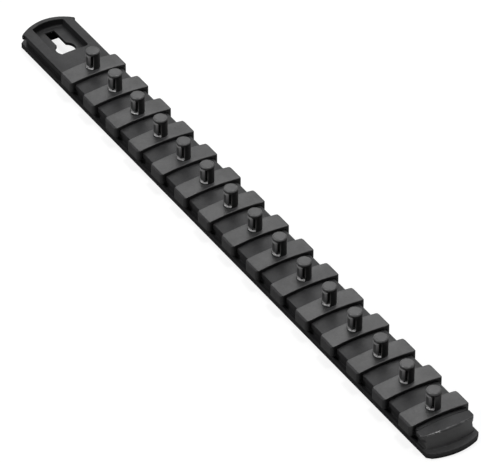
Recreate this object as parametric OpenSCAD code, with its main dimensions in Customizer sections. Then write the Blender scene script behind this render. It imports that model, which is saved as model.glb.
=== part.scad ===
// Socket rail with sliding spring-tongue clips, millimetres.
// The rail lies along X with its hanging keyhole at the -X end, stands on
// its foot at Z = 0, and every post points up.

/* [Rail] */
// Overall length of the rail, over the foot, tip to tip
rail_len = 330; // [320:5:380]
// Width of the top flange that the clips slide on
flange_w = 23.6; // [22:0.2:24.4]
// Width of the foot
foot_w = 24.9; // [24.1:0.1:25.4]
// Height of the top flange at its long edges
rail_h = 8.6; // [8.4:0.1:9.2]
// Rise of the top from its long edges to its middle
rail_crown = 0.9; // [0.5:0.1:1.2]
// Height of the foot's edge
foot_t = 2.6; // [2:0.1:2.8]
// Height of the top flange's underside above the table
flange_low = 6.4; // [6.2:0.1:6.8]
// How far the sides are set back between flange and foot
groove_d = 1.1; // [1:0.1:1.6]
// Thickness of the moulded side walls
wall = 2.0; // [1.6:0.1:2.4]
// Height of the roof of the hollow underside
hollow_h = 6.2; // [6:0.1:6.4]
// Number of hollow bays between the cross ribs
bay_count = 9; // [7:1:12]
// Thickness of one cross rib
rib_t = 1.2; // [1:0.1:2]

/* [Hanging plate] */
// Gap between the plate's shoulder and the first clip
shoulder_gap = 0.5; // [0.3:0.1:1]
// Width of the plate at the hanging end
plate_w = 24.8; // [24.6:0.1:25.2]
// Width over the two ears at its end
ear_w = 26.4; // [25.6:0.1:27.2]
// Length of the ears along the rail
ear_len = 7.6; // [7:0.1:9]
// Radius of the plate's curved end
plate_end_r = 23; // [21:0.5:26]
// How far the plate's end stands back from the foot's end
plate_back = 2.4; // [2:0.1:2.8]
// How far the end wall is set back under the plate's end
end_recess = 0.9; // [0.6:0.1:1.2]
// Width of the wall under the plate
plate_web_w = 21.8; // [20.2:0.2:22.6]
// Radius of the foot's curved end
foot_end_r = 20; // [19:0.5:26]
// Width of the pocket round the keyhole
pocket_w = 15.4; // [14:0.2:16]
// Plate left between the pocket and the plate's end
pocket_rim = 2.3; // [2:0.1:2.8]
// Distance from the tip to the pocket's near edge
pocket_reach = 29; // [28:0.2:30]
// Height of the pocket's floor
pocket_floor = 5.8; // [5.6:0.1:6]
// Thickness of the pocket's floor
floor_t = 1.5; // [1.2:0.1:1.8]
// Diameter of the keyhole's round part
keyhole_d = 9; // [8:0.5:10]
// Width of the keyhole's slot
slot_w = 4.6; // [4.4:0.1:5]
// Distance from the tip to the middle of the round part
keyhole_in = 22; // [21:0.2:23]
// Distance from the tip to the slot's end
slot_in = 7.6; // [7.4:0.2:10]

/* [Clips] */
// Number of clips on the rail
clip_count = 15; // [10:1:15]
// Distance from the hanging tip to the first post
first_post_in = 46; // [45:0.5:50]
// Distance from the nose's tip to the last post
last_post_in = 18; // [18:0.5:22]
// Clip plate in front of the post, towards the nose
clip_front = 5.0; // [4:0.1:5.1]
// Clip plate behind the post
clip_back = 4.3; // [4:0.1:5]
// Thickness of a clip's leg
leg_t = 2.1; // [1.7:0.1:2.3]
// Thickness of the saddle at its edges
saddle_t = 1.2; // [1:0.1:1.6]
// Extra rise of the saddle's top across its width
saddle_crown = 1.1; // [0.8:0.1:1.4]
// Sliding clearance between clip and rail
slide_gap = 0.25; // [0.2:0.05:0.3]
// Height of the hook under the flange
hook_h = 1.0; // [0.8:0.1:1.2]
// How far the hook reaches under the flange
hook_reach = 0.9; // [0.8:0.1:1]
// Corner radius of the saddle, seen from above
saddle_r = 1.5; // [1:0.1:2]
// Width of the bevel along the saddle's long top edges
saddle_bevel = 0.6; // [0.3:0.1:0.8]

/* [Posts] */
// Diameter of the post
post_d = 6.1; // [5.6:0.1:6.2]
// Diameter of the cap on the post
cap_d = 6.3; // [6:0.1:6.34]
// Height of the post's top above the table
post_top = 19.9; // [18:0.1:21]
// Height of the cap with its bevel
cap_h = 1.05; // [1:0.05:1.6]
// Bevel round the cap's top edge
cap_bevel = 0.5; // [0.3:0.05:0.6]
// Height of the neck under the cap
neck_h = 0.6; // [0.55:0.05:0.8]
// Depth of the neck under the cap
neck_d = 0.3; // [0.2:0.05:0.4]
// Width of the post's window
window_w = 5.4; // [5:0.1:5.4]
// Height of the window's sill above the saddle's middle
sill_h = 0.7; // [0.6:0.1:1.2]
// Distance of the window's back wall from the post's axis
window_back = 0.6; // [0.4:0.1:0.8]
// Height of the lip round the sill
lip_h = 0.6; // [0.4:0.1:0.6]
// How far the lip stands out of the post
lip_out = 0.25; // [0.15:0.05:0.3]

/* [Spring tongues] */
// Width of the tongue
tongue_w = 4.0; // [3.4:0.1:4.2]
// Thickness of the tongue's pad at the middle
tongue_t = 1.2; // [1:0.1:1.4]
// Clearance above the tongue and under its root
tongue_gap = 0.3; // [0.2:0.05:0.4]
// Height of the thin root under the pad
root_h = 1.4; // [1:0.1:1.6]
// Thickness of the thin root
root_t = 0.6; // [0.5:0.1:0.8]
// Width of the thin root
root_w = 3.2; // [2.6:0.1:3.4]
// Lead-in bevel at the tongue's free end
lead_in = 0.7; // [0.4:0.1:0.9]

/* [Nose] */
// Length of the nose piece
nose_len = 11.4; // [11:0.1:12]
// Width of the nose's top
nose_w = 25.0; // [24.6:0.1:25.4]
// Width of the nose's wall under its top
nose_web_w = 22.4; // [21:0.2:22.6]
// Distance from the tip to the crest of the nose
crest_in = 4.9; // [4.6:0.1:5.6]
// Radius of the crest, seen from above
crest_r = 34; // [28:0.5:36]
// How far the front wall flares out between crest and foot
flare = 1.4; // [1:0.1:2]
// Bevel at the front corners of the nose's top, seen from above
head_corner = 1.0; // [0.6:0.1:1.6]
// Bevel at the front corners of the nose's foot, seen from above
foot_corner = 1.8; // [1:0.1:2.2]
// Radius of the foot's curved front
foot_front_r = 27; // [24:0.5:36]
// Gap at the seam between nose and rail
seam_gap = 0.1; // [0.05:0.05:0.15]
// Length of the plug that holds the nose in the rail
plug_len = 12; // [10:0.5:14]
// Clearance round the plug
plug_gap = 0.15; // [0.1:0.05:0.2]
// Thickness of the plug's walls
plug_wall = 1.6; // [1.2:0.1:2]

/* [Hidden] */
$fn = 96;
// Amount by which a cutting shape runs past what it cuts.
over = 1;
// Segments in a corner arc of an outline.
corner_steps = 6;

function two_digits(i) = str(i < 10 ? "0" : "", i);
function clip_name(i) = str("clip_", two_digits(i));
function tongue_name(i) = str("tongue_", two_digits(i));

// Places along the rail.
far_x = -rail_len / 2;
near_x = rail_len / 2;
seam_x = near_x - nose_len;
plate_x = far_x + plate_back;
pocket_x = far_x + pocket_reach;
first_post_x = far_x + first_post_in;
shoulder_x = first_post_x - clip_back - shoulder_gap;
clip_pitch = (rail_len - first_post_in - last_post_in) / (clip_count - 1);
function post_x(i) = first_post_x + (i - 1) * clip_pitch;

// Rail section.
web_w = flange_w - 2 * groove_d;
hollow_w = web_w - 2 * wall;
crown_top = rail_h + rail_crown;
crown_r = arc_radius(flange_w, rail_crown);

// Clip section.
clip_inner_w = flange_w + 2 * slide_gap;
clip_w = clip_inner_w + 2 * leg_t;
saddle_edge = rail_h + saddle_t + slide_gap;
saddle_top = saddle_edge + saddle_crown;
saddle_crown_r = arc_radius(clip_w, saddle_crown);
hook_top = flange_low - slide_gap;
leg_low = hook_top - hook_h;

// Post and window heights.
sill = saddle_top + sill_h;
cap_low = post_top - cap_h;
window_top = cap_low - neck_h;
tongue_low = sill + tongue_gap / 2;
tongue_top = window_top - tongue_gap;
pad_low = tongue_low + root_h;
pad_in = post_d / 2 - tongue_t;

// Radius of an arc from its chord and its rise.
function arc_radius(chord, rise) = (pow(chord / 2, 2) + rise * rise) / (2 * rise);

// How far an arc has fallen away at a distance from its middle.
function arc_sag(radius, aside) = radius - sqrt(radius * radius - aside * aside);

// Points of a rectangle from (x0, y0) to (x1, y1) with rounded corners.
function corner_arc(cx, cy, r, start) =
    [for (k = [0:corner_steps])
        let (a = start + 90 * k / corner_steps)
        [cx + r * cos(a), cy + r * sin(a)]];
function rounded_box(x0, y0, x1, y1, r) = concat(
    corner_arc(x1 - r, y1 - r, r, 0),
    corner_arc(x0 + r, y1 - r, r, 90),
    corner_arc(x0 + r, y0 + r, r, 180),
    corner_arc(x1 - r, y0 + r, r, 270)
);

// Stretches a YZ section along X from x0 to x1.
module along_x(x0, x1) {
    translate([x0, 0, 0])
        rotate([90, 0, 90])
            linear_extrude(x1 - x0)
                children();
}

// Raises an XY outline from z0 to z1.
module upright(z0, z1) {
    translate([0, 0, z0])
        linear_extrude(z1 - z0)
            children();
}

// A strip on the rail's centre line, seen from above.
module strip(x0, x1, width) {
    translate([x0, -width / 2])
        square([x1 - x0, width]);
}

// Everything on the inner side of a curved end at the far tip.
module inside_end(tip_x, radius) {
    translate([tip_x + radius, 0])
        circle(r = radius);
    strip(tip_x + radius, near_x + over, 2 * radius);
}

// Section of everything under the rail's crowned top.
module under_crown() {
    intersection() {
        translate([0, crown_top - crown_r])
            circle(r = crown_r);
        translate([-ear_w, 0])
            square([2 * ear_w, crown_top + over]);
    }
}

// ---- Rail ----

module foot_plan() {
    intersection() {
        strip(far_x - over, seam_x, foot_w);
        inside_end(far_x, foot_end_r);
    }
}

module web_plan() {
    intersection() {
        union() {
            strip(far_x, seam_x, web_w);
            strip(far_x, shoulder_x, plate_web_w);
        }
        inside_end(plate_x + end_recess, plate_end_r);
    }
}

module flange_plan() {
    intersection() {
        union() {
            strip(far_x, seam_x, flange_w);
            strip(far_x, shoulder_x, plate_w);
            strip(far_x, far_x + ear_len, ear_w);
        }
        inside_end(plate_x, plate_end_r);
    }
}

module pocket_plan() {
    pocket_corner = 1.6;
    intersection() {
        translate([plate_x + plate_end_r, 0])
            circle(r = plate_end_r - pocket_rim);
        polygon(rounded_box(far_x - over, -pocket_w / 2, pocket_x, pocket_w / 2, pocket_corner));
    }
}

// Keyhole: the slot runs towards the tip, the round part lets a screw head in.
module keyhole() {
    translate([far_x + slot_in, -slot_w / 2, -over])
        cube([keyhole_in - slot_in, slot_w, crown_top]);
    translate([far_x + keyhole_in, 0, -over])
        cylinder(d = keyhole_d, h = crown_top);
}

// Hollow underside: one low bay under the pocket, then even bays between ribs,
// and the open bay that takes the nose's plug.
module hollow_underside() {
    low_bay_far = plate_x + end_recess + wall + 1.2;
    low_bay_near = pocket_x + wall;
    run_start = low_bay_near + rib_t;
    run_end = seam_x - plug_len - 1.5;
    bay = (run_end - run_start - (bay_count - 1) * rib_t) / bay_count;
    translate([low_bay_far, -hollow_w / 2, -over])
        cube([low_bay_near - low_bay_far, hollow_w, pocket_floor - floor_t + over]);
    for (k = [0:bay_count - 1])
        translate([run_start + k * (bay + rib_t), -hollow_w / 2, -over])
            cube([bay, hollow_w, hollow_h + over]);
    translate([run_end + rib_t, -hollow_w / 2, -over])
        cube([seam_x - run_end, hollow_w, hollow_h + over]);
}

module rail() {
    color("#2b2b2c")
        difference() {
            union() {
                upright(0, foot_t) foot_plan();
                upright(foot_t / 2, flange_low + over) web_plan();
                intersection() {
                    upright(flange_low, crown_top + over) flange_plan();
                    along_x(far_x - over, seam_x + over) under_crown();
                }
            }
            hollow_underside();
            upright(pocket_floor, crown_top + over) pocket_plan();
            keyhole();
        }
}

// ---- Nose at the near end ----

// Front wall of the nose, in radius and height: flare and rounded crest.
module front_profile() {
    steps = 8;
    round_steps = 4;
    crest_low = rail_h - 0.3;
    crest_round = 1.2;
    flare_points = [for (k = [0:steps])
        let (t = k / steps)
        [crest_r + flare * pow(1 - t, 2), foot_t + (crest_low - foot_t) * t]];
    round_points = [for (k = [1:round_steps])
        let (a = 80 * k / round_steps)
        [crest_r - crest_round * (1 - cos(a)), crest_low + crest_round * sin(a)]];
    polygon(concat(
        [[0, foot_t / 2], [crest_r + flare, foot_t / 2]],
        flare_points,
        round_points,
        [[crest_r - crest_round, crown_top + 0.1], [0, crown_top + 0.1]]
    ));
}

module front_turned() {
    translate([near_x - crest_in - crest_r, 0, 0])
        rotate_extrude(angle = 60, start = -30)
            front_profile();
}

// Outline with bevelled front corners: reach is where the corner starts.
module nose_plan(width, reach) {
    back = seam_x + seam_gap;
    half = width / 2;
    polygon([
        [back, -half], [reach, -half], [near_x + over, -half + near_x + over - reach],
        [near_x + over, half - near_x - over + reach], [reach, half], [back, half]
    ]);
}

module nose_foot() {
    side_end = near_x - arc_sag(foot_front_r, foot_w / 2 - foot_corner);
    upright(0, foot_t)
        intersection() {
            nose_plan(foot_w, side_end - foot_corner);
            translate([near_x - foot_front_r, 0])
                circle(r = foot_front_r);
        }
}

module nose_head() {
    side_end = near_x - crest_in - arc_sag(crest_r, nose_w / 2 - head_corner);
    intersection() {
        front_turned();
        union() {
            upright(foot_t / 2, flange_low + over) nose_plan(nose_web_w, near_x);
            upright(flange_low, crown_top + over) nose_plan(nose_w, side_end - head_corner);
        }
        along_x(seam_x, near_x + over) under_crown();
    }
}

module plug() {
    plug_w = hollow_w - 2 * plug_gap;
    plug_top = hollow_h - plug_gap;
    back = seam_x - plug_len;
    difference() {
        translate([back, -plug_w / 2, 0])
            cube([plug_len + seam_gap + over, plug_w, plug_top]);
        translate([back - over, -plug_w / 2 + plug_wall, -over])
            cube([plug_len + over, plug_w - 2 * plug_wall, plug_top - plug_wall + over]);
    }
}

module end_stop() {
    color("#2b2b2c")
        union() {
            nose_foot();
            nose_head();
            plug();
        }
}

// ---- Clip: saddle, legs, hooks and post ----

module saddle_blank() {
    half = clip_w / 2;
    bevel_rise = saddle_crown + saddle_bevel + over;
    bevel_low = saddle_edge - saddle_bevel;
    intersection() {
        polygon([
            [-half, leg_low], [half, leg_low], [half, bevel_low],
            [half - bevel_rise, bevel_low + bevel_rise],
            [bevel_rise - half, bevel_low + bevel_rise], [-half, bevel_low]
        ]);
        translate([0, saddle_top - saddle_crown_r])
            circle(r = saddle_crown_r);
    }
}

// Room that the rail takes inside the clip.
module rail_room() {
    intersection() {
        translate([-clip_inner_w / 2, hook_top])
            square([clip_inner_w, saddle_top - hook_top]);
        translate([0, crown_top - crown_r])
            circle(r = crown_r + slide_gap);
    }
    translate([-clip_inner_w / 2 + hook_reach, leg_low - over])
        square([clip_inner_w - 2 * hook_reach, hook_h + 2 * over]);
}

module saddle() {
    intersection() {
        along_x(-clip_back, clip_front)
            difference() {
                saddle_blank();
                rail_room();
            }
        upright(0, post_top)
            polygon(rounded_box(-clip_back, -clip_w / 2, clip_front, clip_w / 2, saddle_r));
    }
}

module post() {
    root = saddle_top - saddle_t / 2;
    radius = post_d / 2;
    rotate_extrude()
        polygon([
            [0, root], [radius, root], [radius, window_top],
            [radius - neck_d, window_top + neck_h / 2], [radius - neck_d, cap_low],
            [cap_d / 2, cap_low], [cap_d / 2, post_top - cap_bevel],
            [cap_d / 2 - cap_bevel, post_top], [0, post_top]
        ]);
}

// Lip round the sill, on the window's side only.
module sill_lip() {
    inner = post_d / 2 - lip_out;
    outer = post_d / 2 + lip_out;
    spread = 124;
    rotate_extrude(angle = spread, start = -90 - spread / 2)
        polygon([
            [inner, sill - lip_h], [post_d / 2, sill - lip_h], [outer, sill - lip_h / 2],
            [outer, sill], [inner, sill]
        ]);
}

module window() {
    translate([-window_w / 2, -post_d, sill])
        cube([window_w, post_d - window_back, window_top - sill]);
}

module clip(i) {
    color("#3a3a3b")
        translate([post_x(i), 0, 0])
            difference() {
                union() {
                    saddle();
                    post();
                    sill_lip();
                }
                window();
            }
}

// ---- Spring tongue in the window ----

// Side view of the tongue's pad, as distance from the axis and height.
module pad_profile() {
    face = post_d / 2;
    polygon([
        [-face, pad_low + 0.3], [-face + 0.3, pad_low], [-pad_in, pad_low],
        [-pad_in, tongue_top], [-face + lead_in, tongue_top], [-face, tongue_top - lead_in]
    ]);
}

module tongue(i) {
    color("#464647")
        translate([post_x(i), 0, 0])
            union() {
                intersection() {
                    along_x(-tongue_w / 2, tongue_w / 2) pad_profile();
                    cylinder(d = post_d, h = post_top);
                }
                translate([-root_w / 2, -pad_in - root_t, tongue_low])
                    cube([root_w, root_t, root_h + 0.4]);
            }
}

rail();
end_stop();
for (i = [1:clip_count]) {
    clip(i);
    tongue(i);
}
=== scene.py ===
"""Looks of the socket rail: a long black moulded rail with fifteen sliding post clips.

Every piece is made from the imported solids, in metres, in their own frame: the
rail lies along X with its keyhole at the -X end, and the posts point up.
"""

import math

import bmesh
import bpy
from mathutils import Matrix, Vector


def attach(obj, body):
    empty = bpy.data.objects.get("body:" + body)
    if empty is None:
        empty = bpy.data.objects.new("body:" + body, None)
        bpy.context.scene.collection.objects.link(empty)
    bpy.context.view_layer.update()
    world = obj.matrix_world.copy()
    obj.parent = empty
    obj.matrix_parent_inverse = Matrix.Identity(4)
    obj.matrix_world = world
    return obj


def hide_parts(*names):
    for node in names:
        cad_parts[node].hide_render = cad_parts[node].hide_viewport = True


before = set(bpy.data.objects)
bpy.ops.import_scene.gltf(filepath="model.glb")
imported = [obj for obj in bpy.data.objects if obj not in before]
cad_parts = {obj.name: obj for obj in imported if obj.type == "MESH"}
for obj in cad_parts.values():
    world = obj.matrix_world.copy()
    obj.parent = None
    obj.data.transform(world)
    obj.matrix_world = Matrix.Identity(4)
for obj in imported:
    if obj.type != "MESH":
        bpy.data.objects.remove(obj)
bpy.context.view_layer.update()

MM = 0.001

# ---- Places on the solids, in metres ----

CLIP_COUNT = 15
CLIP_PITCH = 19.0 * MM
FIRST_POST = -119.0 * MM
MASTER = 8  # the clip that the others are copied from
MASTER_X = FIRST_POST + (MASTER - 1) * CLIP_PITCH

SADDLE_TOP = 11.15 * MM
SADDLE_CROWN = 11.0 * MM  # just under the saddle's crowned top, at y = 0
SADDLE_FALL = 0.0055 / MM  # how fast the crown falls with y squared
SADDLE_SIDE = 13.3 * MM
CLIP_FRONT = 5.0 * MM
CLIP_CORNER = 13.0 * MM
SILL = 11.85 * MM
POST_RADIUS = 3.05 * MM
CAP_LOW = 18.85 * MM
CAP_FLAT = 2.6 * MM  # radius of the cap's flat top

TONGUE_PAD = 13.9 * MM
TONGUE_LEAD_IN = 17.2 * MM
TONGUE_FACE = -2.2 * MM

RAIL_EDGE = 8.6 * MM
FOOT_TOP = 2.6 * MM
POCKET_FLOOR = 5.8 * MM
POCKET_NEAR = -136.0 * MM
POCKET_FAR = -157.6 * MM
POCKET_SIDE = 7.7 * MM
HOLLOW_SIDE = 9.9 * MM

SEAM = 153.6 * MM
NOSE_CREST = 160.1 * MM
NOSE_FACE_DEPTH = 5.0 * MM  # the worn face begins this far behind the crest

CLOSE = 0.1 * MM  # an edge this near to a level or a wall lies on it
NEAR = 0.2 * MM

# ---- Widths of the rounded edges ----

CAP_ROUND = 0.30 * MM
WINDOW_ROUND = 0.08 * MM
LIP_ROUND = 0.20 * MM
LIP_INNER_ROUND = 0.05 * MM
POST_FRONT_ROUND = 0.05 * MM
POST_BACK_ROUND = 0.08 * MM
POST_BACK_FROM = 75.0  # degrees round the post from the middle of its window
LEG_ROUND = 0.18 * MM
SADDLE_ROUND = 0.35 * MM
SADDLE_UNDER_ROUND = 0.12 * MM

TONGUE_ROOT_ROUND = 0.05 * MM
TONGUE_PAD_ROUND = 0.16 * MM

POCKET_RIM_ROUND = 0.30 * MM
POCKET_FILLET = 0.80 * MM
KEYHOLE_ROUND = 0.15 * MM
RAIL_TOP_ROUND = 0.35 * MM
RAIL_FOOT_ROUND = 0.30 * MM
RAIL_ROUND = 0.20 * MM

SEAM_ROUND = 0.12 * MM
NOSE_HEAD_ROUND = 0.45 * MM
NOSE_FOOT_ROUND = 0.40 * MM
NOSE_ROUND = 0.25 * MM

HARD_EDGE = math.radians(28.0)  # softer edges than this are left to smooth shading
WIDEST_ROUND = 1.0 * MM
ROUND_SEGMENTS = 3
SAME_POINT = 0.001 * MM  # points nearer than this are one
FLAT_WITHIN = math.radians(0.3)
SHORTEST_CLIP_EDGE = 0.08 * MM

# ---- Wear and painted highlight, from 0 for none to 1 ----

# The cap's rim is painted paler as a highlight, and is smoother as wear.
CAP_RIM_HIGHLIGHT_AND_WEAR = 0.13
# The lip is painted nearly white as a highlight; its lower roughness is wear.
LIP_HIGHLIGHT_AND_WEAR = 1.0
# The saddle's front top edge and its corners are painted paler as highlights, and are smoother
# as wear.
CLIP_FRONT_HIGHLIGHT_AND_WEAR = 0.05
CLIP_CORNER_HIGHLIGHT_AND_WEAR = 0.20
# The tongue's lead-in is painted paler as a highlight, and is smoother as wear.
TONGUE_HIGHLIGHT_AND_WEAR = 0.3
# The nose's crest is painted paler as a highlight, its front as painted light; both are
# smoother as wear.
NOSE_CREST_HIGHLIGHT_AND_WEAR = 0.08
NOSE_FACE_LIGHT_AND_WEAR = 0.05

CAP_SLOPE = (0.2, 0.95)  # how far up a face with wear and painted highlight looks, from 0 for a wall to 1 for a top
CLIP_SLOPE = (0.2, 0.97)
NOSE_CREST_SLOPE = 0.45
NOSE_TOP_SLOPE = 0.985

# ---- Finishes of the plastic, and the pale tone of painted highlights ----

# The pale tone that the wear-and-highlight mask mixes in is a painted highlight.
HIGHLIGHT_TONE = (0.80, 0.80, 0.80, 1.0)
CLOUD_SCALE = 140.0
SPECK_SCALE = 900.0
SHINE_SCALE = 60.0
CLOUD_SHARE = 0.65
SPECK_SHARE = 0.35
NOISE_RANGE = (0.3, 0.7)  # where nearly all of a noise's values lie
GRAIN_DEPTH = 0.08 * MM

RAIL_FINISH = {
    "Tone": (0.026, 0.026, 0.027, 1.0),
    "Cloud": 0.26,
    "Grain Scale": 2200.0,
    "Roughness": 0.46,
    "Shine Spread": 0.08,
    "Polish": 0.18,
}
NOSE_FINISH_AND_SHADE = {
    # The nose's tone is darker than the rail's, as painted shade on its top.
    "Tone": (0.020, 0.020, 0.021, 1.0),
    "Cloud": 0.22,
    "Grain Scale": 2200.0,
    "Roughness": 0.70,
    "Shine Spread": 0.06,
    "Polish": 4.9,
}
CLIP_FINISH = {
    "Tone": (0.050, 0.050, 0.051, 1.0),
    "Cloud": 0.26,
    "Grain Scale": 1900.0,
    "Roughness": 0.38,
    "Shine Spread": 0.09,
    "Polish": 0.18,
}
TONGUE_FINISH = {
    "Tone": (0.075, 0.075, 0.076, 1.0),
    "Cloud": 0.16,
    "Grain Scale": 2400.0,
    "Roughness": 0.36,
    "Shine Spread": 0.08,
    "Polish": 0.18,
}

# ---- Camera: the photograph's frame is 481 x 463 ----

PHOTO_WIDTH = 481
FOCAL_PIXELS = 4463.0
SENSOR = 36.0
CAMERA_PLACE = Vector((1.2431, -0.7675, 1.1532))
CAMERA_AZIMUTH = 58.2546
CAMERA_ELEVATION = 38.2904
CAMERA_ROLL = 0.0867
CAMERA_NEAR = 0.05
CAMERA_FAR = 50.0

# ---- Floor, light and backdrop ----

FLOOR_SIZE = 8.0
FLOOR_HEIGHT = -0.0002  # a hair under the rail's foot
FLOOR_TONE = 0.24
FLOOR_GLOW = 0.84
FLOOR_BOUNCE = 0.12
FLOOR_SHEEN = 0.22  # the floor as the plastic's sheen shows it
WORLD_FILL = 0.03
BACKDROP_SHEEN = 0.09

PAINTED_REFLECTION_LEVEL = 1.0  # a painted reflection: a patch of floor in front of the nose that glows, seen only in the sheen
REFLECTION_CENTRE = (138.0 * MM, 0.0, 0.0)
REFLECTION_SHADOW_NEAR = (28.0 * MM, 32.0 * MM)  # it fades in between these distances from its centre, a painted shadow in the reflection near the nose
REFLECTION_AHEAD = (150.0 * MM, 165.0 * MM)  # and between these places along the rail

LIGHT_DISTANCE = 1.5
KEY_FROM = Vector((-0.58, 0.42, 0.80))  # the broad softbox behind the hanging end
KEY_SIZE = 1.3
KEY_POWER = 13.5
GLINT_FROM = Vector((-0.13, -0.68, 0.72))  # the small lamp on the windows' side
GLINT_SIZE = 0.30
GLINT_POWER = 8.0
TOP_FROM = Vector((0.06, 0.22, 0.97))  # the small lamp overhead, for the nose's crest
TOP_SIZE = 0.20
TOP_POWER = 7.0


def make_camera():
    """The photograph's camera, from its place and its angles in degrees."""
    data = bpy.data.cameras.new("camera")
    data.sensor_fit = "HORIZONTAL"
    data.sensor_width = SENSOR
    data.lens = FOCAL_PIXELS / PHOTO_WIDTH * SENSOR
    data.clip_start = CAMERA_NEAR
    data.clip_end = CAMERA_FAR
    camera = bpy.data.objects.new("camera", data)
    bpy.context.scene.collection.objects.link(camera)
    azimuth = math.radians(CAMERA_AZIMUTH)
    elevation = math.radians(CAMERA_ELEVATION)
    roll = math.radians(CAMERA_ROLL)
    back = Vector((
        math.sin(azimuth) * math.cos(elevation),
        -math.cos(azimuth) * math.cos(elevation),
        math.sin(elevation),
    ))
    level = Vector((math.cos(azimuth), math.sin(azimuth), 0.0))
    upright = back.cross(level)
    right = level * math.cos(roll) + upright * math.sin(roll)
    up = upright * math.cos(roll) - level * math.sin(roll)
    turn = Matrix((right, up, back)).transposed()
    camera.matrix_world = Matrix.Translation(CAMERA_PLACE) @ turn.to_4x4()
    bpy.context.scene.camera = camera


# ---- Nodes that several trees use ----


def feed(tree, value, socket):
    """Sets a socket to a number, or links another node's output to it."""
    if isinstance(value, (int, float)):
        socket.default_value = value
    else:
        tree.links.new(value, socket)


def math_node(tree, operation, a, b):
    node = tree.nodes.new("ShaderNodeMath")
    node.operation = operation
    feed(tree, a, node.inputs[0])
    feed(tree, b, node.inputs[1])
    return node.outputs[0]


def noise(tree, vector, scale, detail, roughness=0.5):
    node = tree.nodes.new("ShaderNodeTexNoise")
    node.inputs["Detail"].default_value = detail
    node.inputs["Roughness"].default_value = roughness
    tree.links.new(vector, node.inputs["Vector"])
    feed(tree, scale, node.inputs["Scale"])
    return node.outputs["Fac"]


def map_range(tree, value, ends, low=0.0, high=1.0):
    """Low where the value is at the first end or under it, high from the second end on."""
    node = tree.nodes.new("ShaderNodeMapRange")
    tree.links.new(value, node.inputs["Value"])
    node.inputs["From Min"].default_value = ends[0]
    node.inputs["From Max"].default_value = ends[1]
    feed(tree, low, node.inputs["To Min"])
    feed(tree, high, node.inputs["To Max"])
    return node.outputs["Result"]


# ---- The plastic ----


def moulded_finish_group():
    """Grained black plastic: a cloudy tone, a fine grain, paler as a painted highlight and
    shinier as wear, where the mask is set.
    """
    tree = bpy.data.node_groups.new("moulded_finish", "ShaderNodeTree")
    for name, kind, value in (
        ("Tone", "NodeSocketColor", (0.05, 0.05, 0.05, 1.0)),
        ("Cloud", "NodeSocketFloat", 0.1),
        ("Grain Scale", "NodeSocketFloat", 3000.0),
        ("Roughness", "NodeSocketFloat", 0.45),
        ("Shine Spread", "NodeSocketFloat", 0.08),
        ("Wear And Highlight", "NodeSocketFloat", 0.0),
        ("Polish", "NodeSocketFloat", 0.18),
    ):
        socket = tree.interface.new_socket(name, in_out="INPUT", socket_type=kind)
        socket.default_value = value
    for name, kind in (
        ("Color", "NodeSocketColor"),
        ("Roughness", "NodeSocketFloat"),
        ("Height", "NodeSocketFloat"),
    ):
        tree.interface.new_socket(name, in_out="OUTPUT", socket_type=kind)
    given = tree.nodes.new("NodeGroupInput").outputs
    out = tree.nodes.new("NodeGroupOutput").inputs
    place = tree.nodes.new("ShaderNodeTexCoord").outputs["Object"]

    cloud = noise(tree, place, CLOUD_SCALE, 3.0)
    speck = noise(tree, place, SPECK_SCALE, 2.0)
    cloud = math_node(tree, "MULTIPLY", cloud, CLOUD_SHARE)
    speck = math_node(tree, "MULTIPLY", speck, SPECK_SHARE)
    darkest = math_node(tree, "SUBTRACT", 1.0, given["Cloud"])
    palest = math_node(tree, "ADD", 1.0, given["Cloud"])
    mottle = math_node(tree, "ADD", cloud, speck)
    scale = tree.nodes.new("ShaderNodeVectorMath")
    scale.operation = "SCALE"
    tree.links.new(given["Tone"], scale.inputs[0])
    tree.links.new(map_range(tree, mottle, NOISE_RANGE, darkest, palest), scale.inputs["Scale"])
    # Where the mask is set, the colour turns pale: a painted highlight.
    highlight_mix = tree.nodes.new("ShaderNodeMix")
    highlight_mix.data_type = "RGBA"
    factor, fresh, wear_and_highlight = highlight_mix.inputs[0], highlight_mix.inputs[6], highlight_mix.inputs[7]
    wear_and_highlight.default_value = HIGHLIGHT_TONE
    tree.links.new(given["Wear And Highlight"], factor)
    tree.links.new(scale.outputs["Vector"], fresh)
    tree.links.new(highlight_mix.outputs[2], out["Color"])

    shine = noise(tree, place, SHINE_SCALE, 4.0, 0.6)
    least = math_node(tree, "MULTIPLY", given["Shine Spread"], -1.0)
    spread = map_range(tree, shine, NOISE_RANGE, least, given["Shine Spread"])
    polish = math_node(tree, "MULTIPLY", given["Wear And Highlight"], given["Polish"])
    rough = math_node(tree, "ADD", given["Roughness"], spread)
    tree.links.new(math_node(tree, "SUBTRACT", rough, polish), out["Roughness"])

    tree.links.new(noise(tree, place, given["Grain Scale"], 2.0), out["Height"])
    return tree


def moulded_plastic(name, group_tree, finish, bump, specular):
    """One plastic: the shared group with this finish's values, and its own bump and gloss."""
    material = bpy.data.materials.new(name)
    material.use_nodes = True
    tree = material.node_tree
    shader = tree.nodes["Principled BSDF"]
    shader.inputs["Specular IOR Level"].default_value = specular
    group = tree.nodes.new("ShaderNodeGroup")
    group.node_tree = group_tree
    for key, value in finish.items():
        group.inputs[key].default_value = value
    # The wear-and-highlight mask: a painted highlight in the colour, wear in the roughness.
    wear_and_highlight = tree.nodes.new("ShaderNodeAttribute")
    wear_and_highlight.attribute_name = "wear_and_highlight"
    raised = tree.nodes.new("ShaderNodeBump")
    raised.inputs["Strength"].default_value = bump
    raised.inputs["Distance"].default_value = GRAIN_DEPTH
    tree.links.new(wear_and_highlight.outputs["Fac"], group.inputs["Wear And Highlight"])
    tree.links.new(group.outputs["Color"], shader.inputs["Base Color"])
    tree.links.new(group.outputs["Roughness"], shader.inputs["Roughness"])
    tree.links.new(group.outputs["Height"], raised.inputs["Height"])
    tree.links.new(raised.outputs["Normal"], shader.inputs["Normal"])
    return material


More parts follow.
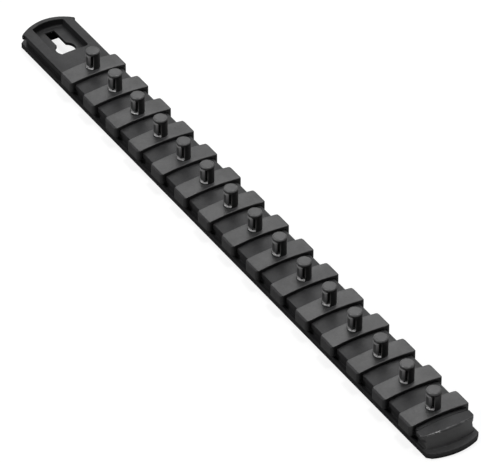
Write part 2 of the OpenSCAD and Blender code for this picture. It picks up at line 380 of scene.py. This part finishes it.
# ---- Rounding: each rule gives the width of the rounded edge at its place ----


def clip_rounding(place):
    """A clip's edges, with the post's axis at x = 0."""
    aside = math.hypot(place.x, place.y)
    from_window = math.degrees(math.atan2(abs(place.x), -place.y))
    on_post = aside < POST_RADIUS + 0.5 * MM and place.z > SADDLE_TOP - 0.3 * MM
    if on_post and place.z > CAP_LOW + NEAR:
        return CAP_ROUND
    if on_post and place.z > SILL + CLOSE:
        return WINDOW_ROUND
    if on_post and place.z > SILL - CLOSE:
        return LIP_ROUND if aside > POST_RADIUS + CLOSE else LIP_INNER_ROUND
    if on_post:
        return POST_FRONT_ROUND if from_window < POST_BACK_FROM else POST_BACK_ROUND
    if abs(place.y) > SADDLE_SIDE:
        return LEG_ROUND
    under_top = SADDLE_CROWN - SADDLE_FALL * place.y * place.y
    return SADDLE_ROUND if place.z > under_top else SADDLE_UNDER_ROUND


def tongue_rounding(place):
    """A tongue's edges: a thin root, a softly rounded pad."""
    return TONGUE_ROOT_ROUND if place.z < TONGUE_PAD else TONGUE_PAD_ROUND


def rail_rounding(place):
    """The rail's edges. Those of its hollow underside are left plain."""
    aside = abs(place.y)
    in_pocket = place.x < POCKET_NEAR + NEAR and aside < POCKET_SIDE + NEAR
    if in_pocket and place.z > RAIL_EDGE:
        return POCKET_RIM_ROUND
    if in_pocket and abs(place.z - POCKET_FLOOR) < CLOSE:
        at_wall = aside > POCKET_SIDE - 0.4 * MM or place.x > POCKET_NEAR - 0.4 * MM
        return POCKET_FILLET if at_wall or place.x < POCKET_FAR else KEYHOLE_ROUND
    if aside < HOLLOW_SIDE and place.z < POCKET_FLOOR:
        return 0.0
    if place.z > RAIL_EDGE - 0.3 * MM:
        return RAIL_TOP_ROUND
    return RAIL_FOOT_ROUND if abs(place.z - FOOT_TOP) < CLOSE else RAIL_ROUND


def nose_rounding(place):
    """The nose's edges: soft outside, crisp at the seam and on the plug.

    Known fault: the crest comes out of this rounding with a ragged edge.
    """
    if place.x < SEAM + NEAR:
        return SEAM_ROUND
    if place.z > FOOT_TOP + NEAR:
        return NOSE_HEAD_ROUND
    return NOSE_FOOT_ROUND if abs(place.z - FOOT_TOP) < CLOSE else NOSE_ROUND


# ---- Wear and painted highlight: each rule gives how much of both a mesh has at its place ----


def clip_wear_and_highlight(place, normal):
    """The sill's lip where sockets rest, the cap's rim and the saddle's front edge: paler as
    painted highlights, smoother as wear.
    """
    aside = math.hypot(place.x, place.y)
    if place.z > CAP_LOW + 0.35 * MM:
        on_rim = aside > CAP_FLAT and CAP_SLOPE[0] < normal.z < CAP_SLOPE[1]
        return CAP_RIM_HIGHLIGHT_AND_WEAR if on_rim else 0.0
    # The lip on the windows' side is painted nearly white, as a highlight.
    if SILL - 0.45 * MM < place.z < SILL + 0.02 * MM and aside > POST_RADIUS - 0.75 * MM:
        on_lip = aside < POST_RADIUS + 0.5 * MM and place.x > -CLOSE and place.y < -0.6 * MM
        return LIP_HIGHLIGHT_AND_WEAR if on_lip else 0.0
    # The saddle's front top edge and corners are painted paler, as highlights.
    if place.x > CLIP_FRONT - 0.25 * MM and CLIP_SLOPE[0] < normal.z < CLIP_SLOPE[1]:
        return CLIP_CORNER_HIGHLIGHT_AND_WEAR if abs(place.y) > CLIP_CORNER else CLIP_FRONT_HIGHLIGHT_AND_WEAR
    return 0.0


def tongue_wear_and_highlight(place, normal):
    """The lead-in at the tongue's free end, where sockets press it back: painted paler as a
    highlight, and smoother as wear.
    """
    return TONGUE_HIGHLIGHT_AND_WEAR if place.z > TONGUE_LEAD_IN and place.y < TONGUE_FACE else 0.0


def nose_wear_and_highlight(place, normal):
    """The nose's crest and front, which are gripped to pull the rail about: smoother as wear,
    paler as a painted highlight on the crest and painted light on the front.
    """
    behind = place.x < NOSE_CREST - NOSE_FACE_DEPTH
    if behind or place.z < FOOT_TOP + NEAR or normal.z > NOSE_TOP_SLOPE:
        return 0.0
    # Paler on the crest as a painted highlight, and on the front as painted light.
    on_crest = place.z > RAIL_EDGE - 0.4 * MM and normal.z > NOSE_CREST_SLOPE
    return NOSE_CREST_HIGHLIGHT_AND_WEAR if on_crest else NOSE_FACE_LIGHT_AND_WEAR


# ---- Meshes ----


def whole_faces(node, shortest=SAME_POINT):
    """A copy of a node's mesh with its flat faces made whole and no edge under the shortest."""
    mesh = bpy.data.meshes.new(node + "_copy")
    work = bmesh.new()
    work.from_mesh(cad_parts[node].data)
    bmesh.ops.remove_doubles(work, verts=work.verts, dist=SAME_POINT)
    bmesh.ops.dissolve_limit(work, angle_limit=FLAT_WITHIN, verts=work.verts, edges=work.edges)
    bmesh.ops.remove_doubles(work, verts=work.verts, dist=shortest)
    work.to_mesh(mesh)
    work.free()
    return mesh


def softened(name, mesh, rounding):
    """Rounds the moulded edges of a mesh, and gives it smooth faces with true flats."""
    work = bmesh.new()
    work.from_mesh(mesh)
    share = work.edges.layers.float.new("bevel_weight_edge")
    for edge in work.edges:
        if len(edge.link_faces) == 2 and edge.calc_face_angle() > HARD_EDGE:
            middle = (edge.verts[0].co + edge.verts[1].co) / 2
            edge[share] = rounding(middle) / WIDEST_ROUND
    work.to_mesh(mesh)
    work.free()
    piece = bpy.data.objects.new(name + "_work", mesh)
    bpy.context.scene.collection.objects.link(piece)
    bevel = piece.modifiers.new("edge", "BEVEL")
    bevel.width = WIDEST_ROUND
    bevel.segments = ROUND_SEGMENTS
    bevel.limit_method = "WEIGHT"
    bevel.miter_outer = "MITER_ARC"
    bevel.use_clamp_overlap = False
    weighted = piece.modifiers.new("flats", "WEIGHTED_NORMAL")
    weighted.keep_sharp = True
    for face in mesh.polygons:
        face.use_smooth = True
    seen = piece.evaluated_get(bpy.context.evaluated_depsgraph_get())
    made = bpy.data.meshes.new_from_object(seen)
    made.name = name
    bpy.data.objects.remove(piece)
    return made


# Stores per vertex how much painted highlight and wear a mesh has.
def mark_wear_and_highlight(mesh, wear_and_highlight_rule):
    mask = mesh.attributes.new("wear_and_highlight", "FLOAT", "POINT")
    for vertex, value in zip(mesh.vertices, mask.data):
        value.value = wear_and_highlight_rule(vertex.co, vertex.normal)


def new_piece(name, mesh, body, material, node):
    piece = bpy.data.objects.new(name, mesh)
    bpy.context.scene.collection.objects.link(piece)
    mesh.materials.clear()
    mesh.materials.append(material)
    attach(piece, body)
    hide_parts(node)
    return piece


# ---- Geometry Nodes: one clip or tongue set at its place on the rail ----


def place_on_rail_tree():
    """Moves the master piece to its number's place, and gives it its material."""
    tree = bpy.data.node_groups.new("place_on_rail", "GeometryNodeTree")
    tree.is_modifier = True
    for name, kind in (
        ("Geometry", "NodeSocketGeometry"),
        ("Piece", "NodeSocketObject"),
        ("Material", "NodeSocketMaterial"),
        ("Number", "NodeSocketInt"),
        ("Pitch", "NodeSocketFloat"),
        ("First Post", "NodeSocketFloat"),
    ):
        tree.interface.new_socket(name, in_out="INPUT", socket_type=kind)
    tree.interface.new_socket("Geometry", in_out="OUTPUT", socket_type="NodeSocketGeometry")
    given = tree.nodes.new("NodeGroupInput").outputs
    out = tree.nodes.new("NodeGroupOutput").inputs
    info = tree.nodes.new("GeometryNodeObjectInfo")
    info.inputs["As Instance"].default_value = True
    where = tree.nodes.new("ShaderNodeCombineXYZ")
    move = tree.nodes.new("GeometryNodeTransform")
    real = tree.nodes.new("GeometryNodeRealizeInstances")
    dress = tree.nodes.new("GeometryNodeSetMaterial")
    steps = math_node(tree, "MULTIPLY", given["Number"], given["Pitch"])
    tree.links.new(math_node(tree, "ADD", steps, given["First Post"]), where.inputs["X"])
    tree.links.new(given["Piece"], info.inputs["Object"])
    tree.links.new(info.outputs["Geometry"], move.inputs["Geometry"])
    tree.links.new(where.outputs["Vector"], move.inputs["Translation"])
    tree.links.new(move.outputs["Geometry"], real.inputs["Geometry"])
    tree.links.new(real.outputs["Geometry"], dress.inputs["Geometry"])
    tree.links.new(given["Material"], dress.inputs["Material"])
    tree.links.new(dress.outputs["Geometry"], out["Geometry"])
    return tree


def socket_id(tree, name):
    """A modifier's input goes by its socket's identifier, not its name."""
    for item in tree.interface.items_tree:
        if item.item_type == "SOCKET" and item.in_out == "INPUT" and item.name == name:
            return item.identifier
    raise KeyError(name)


def placed_mesh(tree, name, master, material, number):
    """The master piece as a plain mesh at its place on the rail, counted from 0."""
    holder = bpy.data.objects.new(name + "_holder", bpy.data.meshes.new(name + "_holder"))
    bpy.context.scene.collection.objects.link(holder)
    modifier = holder.modifiers.new("place", "NODES")
    modifier.node_group = tree
    values = {
        "Piece": master,
        "Material": material,
        "Number": number,
        "Pitch": CLIP_PITCH,
        "First Post": FIRST_POST,
    }
    for key, value in values.items():
        modifier[socket_id(tree, key)] = value
    seen = holder.evaluated_get(bpy.context.evaluated_depsgraph_get())
    mesh = bpy.data.meshes.new_from_object(seen)
    mesh.name = name
    bpy.data.objects.remove(holder)
    return mesh


def master_piece(node, rounding, wear_and_highlight_rule):
    """A clip or tongue, rounded and marked with wear and painted highlight, with its post's
    axis at x = 0.
    """
    mesh = whole_faces(node, SHORTEST_CLIP_EDGE)
    mesh.transform(Matrix.Translation((-MASTER_X, 0.0, 0.0)))
    mesh = softened(node + "_master", mesh, rounding)
    mark_wear_and_highlight(mesh, wear_and_highlight_rule)
    master = bpy.data.objects.new(node + "_master", mesh)
    bpy.context.scene.collection.objects.link(master)
    return master


def make_clips(tree, clip_material, tongue_material):
    clip_master = master_piece("clip_%02d" % MASTER, clip_rounding, clip_wear_and_highlight)
    tongue_master = master_piece("tongue_%02d" % MASTER, tongue_rounding, tongue_wear_and_highlight)
    kinds = (
        ("saddle_clip_", "clip_", "clip_plastic", clip_master, clip_material),
        ("spring_tongue_", "tongue_", "tongue_plastic", tongue_master, tongue_material),
    )
    for number in range(CLIP_COUNT):
        tag = "%02d" % (number + 1)
        for name, node, slot, master, material in kinds:
            mesh = placed_mesh(tree, name + tag, master, material, number)
            new_piece(name + tag, mesh, node + tag, material, node + tag)
    bpy.data.objects.remove(clip_master)
    bpy.data.objects.remove(tongue_master)


# ---- The studio ----


def by_ray(tree, looked_at, in_sheen, in_bounce):
    """One value for camera and see-through rays, one for glossy rays, one for bounced light."""
    path = tree.nodes.new("ShaderNodeLightPath").outputs
    clear = math_node(tree, "MAXIMUM", path["Is Camera Ray"], path["Is Transmission Ray"])
    clear = math_node(tree, "MULTIPLY", clear, looked_at)
    gloss = math_node(tree, "MULTIPLY", path["Is Glossy Ray"], in_sheen)
    return math_node(tree, "MAXIMUM", math_node(tree, "MAXIMUM", clear, gloss), in_bounce)


def painted_reflection_at(tree):
    """How bright the painted reflection in front of the nose is at each place on the floor,
    darker near the nose as a painted shadow.
    """
    place = tree.nodes.new("ShaderNodeTexCoord").outputs["Object"]
    split = tree.nodes.new("ShaderNodeSeparateXYZ")
    tree.links.new(place, split.inputs["Vector"])
    away = tree.nodes.new("ShaderNodeVectorMath")
    away.operation = "DISTANCE"
    tree.links.new(place, away.inputs[0])
    away.inputs[1].default_value = REFLECTION_CENTRE
    near = map_range(tree, away.outputs["Value"], REFLECTION_SHADOW_NEAR)
    ahead = map_range(tree, split.outputs["X"], REFLECTION_AHEAD)
    return math_node(tree, "MULTIPLY", math_node(tree, "MULTIPLY", near, ahead), PAINTED_REFLECTION_LEVEL)


def make_floor():
    mesh = bpy.data.meshes.new("floor")
    half = FLOOR_SIZE / 2
    corners = ((-half, -half), (half, -half), (half, half), (-half, half))
    mesh.from_pydata([(x, y, FLOOR_HEIGHT) for x, y in corners], [], [(0, 1, 2, 3)])
    floor = bpy.data.objects.new("floor", mesh)
    bpy.context.scene.collection.objects.link(floor)
    material = bpy.data.materials.new("floor_white")
    material.use_nodes = True
    tree = material.node_tree
    tree.nodes.remove(tree.nodes["Principled BSDF"])
    pale = tree.nodes.new("ShaderNodeBsdfDiffuse")
    tree.links.new(by_ray(tree, FLOOR_TONE, FLOOR_SHEEN, FLOOR_BOUNCE), pale.inputs["Color"])
    glow = tree.nodes.new("ShaderNodeEmission")
    # In glossy rays the floor glows in front of the nose: a painted reflection.
    tree.links.new(by_ray(tree, FLOOR_GLOW, painted_reflection_at(tree), 0.0), glow.inputs["Strength"])
    both = tree.nodes.new("ShaderNodeAddShader")
    tree.links.new(pale.outputs[0], both.inputs[0])
    tree.links.new(glow.outputs[0], both.inputs[1])
    tree.links.new(both.outputs[0], tree.nodes["Material Output"].inputs["Surface"])
    mesh.materials.append(material)


def make_world():
    world = bpy.data.worlds.new("studio")
    bpy.context.scene.world = world
    world.use_nodes = True
    tree = world.node_tree
    background = tree.nodes["Background"]
    background.inputs["Color"].default_value = (1.0, 1.0, 1.0, 1.0)
    tree.links.new(by_ray(tree, 1.0, BACKDROP_SHEEN, WORLD_FILL), background.inputs["Strength"])


def make_light(name, source, size, power):
    """A square lamp in the given direction, facing the middle of the rail."""
    data = bpy.data.lights.new(name, "AREA")
    data.shape = "RECTANGLE"
    data.size = size
    data.size_y = size
    data.energy = power
    light = bpy.data.objects.new(name, data)
    bpy.context.scene.collection.objects.link(light)
    towards = source.normalized()
    light.location = towards * LIGHT_DISTANCE
    light.rotation_mode = "QUATERNION"
    light.rotation_quaternion = towards.to_track_quat("Z", "Y")


# ---- The object ----

make_camera()

moulded_finish = moulded_finish_group()
rail_plastic = moulded_plastic("rail_plastic", moulded_finish, RAIL_FINISH, 0.5, 0.23)
nose_plastic = moulded_plastic("nose_plastic", moulded_finish, NOSE_FINISH_AND_SHADE, 0.5, 0.50)
clip_plastic = moulded_plastic("clip_plastic", moulded_finish, CLIP_FINISH, 0.6, 0.40)
tongue_plastic = moulded_plastic("tongue_plastic", moulded_finish, TONGUE_FINISH, 0.5, 0.45)

rail_mesh = softened("rail_moulding", whole_faces("rail"), rail_rounding)
new_piece("rail_moulding", rail_mesh, "rail", rail_plastic, "rail")
nose_mesh = softened("nose_moulding", whole_faces("end_stop"), nose_rounding)
mark_wear_and_highlight(nose_mesh, nose_wear_and_highlight)
new_piece("nose_moulding", nose_mesh, "rail", nose_plastic, "end_stop")
make_clips(place_on_rail_tree(), clip_plastic, tongue_plastic)

make_floor()
make_world()
make_light("key", KEY_FROM, KEY_SIZE, KEY_POWER)
make_light("glint", GLINT_FROM, GLINT_SIZE, GLINT_POWER)
make_light("top", TOP_FROM, TOP_SIZE, TOP_POWER)

bpy.context.scene.view_settings.view_transform = "Standard"
